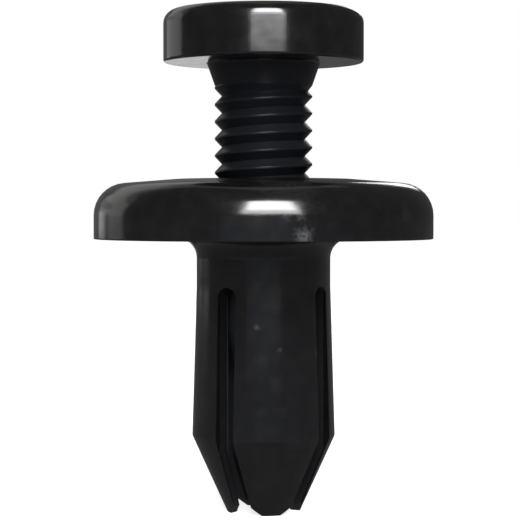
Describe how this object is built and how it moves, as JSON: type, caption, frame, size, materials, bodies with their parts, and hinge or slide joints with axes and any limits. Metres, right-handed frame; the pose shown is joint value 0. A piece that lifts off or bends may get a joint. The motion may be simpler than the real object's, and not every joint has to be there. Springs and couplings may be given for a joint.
{
  "type": "screw rivet",
  "caption": "Plastic screw rivet: a round-flanged sleeve with slotted spreading legs, and a coarse-threaded screw with a flat head and cross recess, shown backed out.",
  "frame": {"origin": "centre of the flange's seat, the flat face that meets the panel", "axes": "+Z along the rivet's axis, from the legs to the screw's head; one leg points along each of -X, +X, -Y and +Y"},
  "size_m": [0.02, 0.02, 0.0296],
  "materials": {
    "sleeve_plastic": "moulded gloss black with light scuffs",
    "screw_plastic": "moulded gloss black, satin on the thread"
  },
  "bodies": {
    "sleeve": {"sleeve": "sleeve_plastic"},
    "screw": {"screw": "screw_plastic"}
  },
  "joints": [
    {"name": "screw_travel", "type": "slide", "parent": "sleeve", "child": "screw", "axis": [0, 0, 1], "range_m": [-0.0068, 0.0011]}
  ]
}
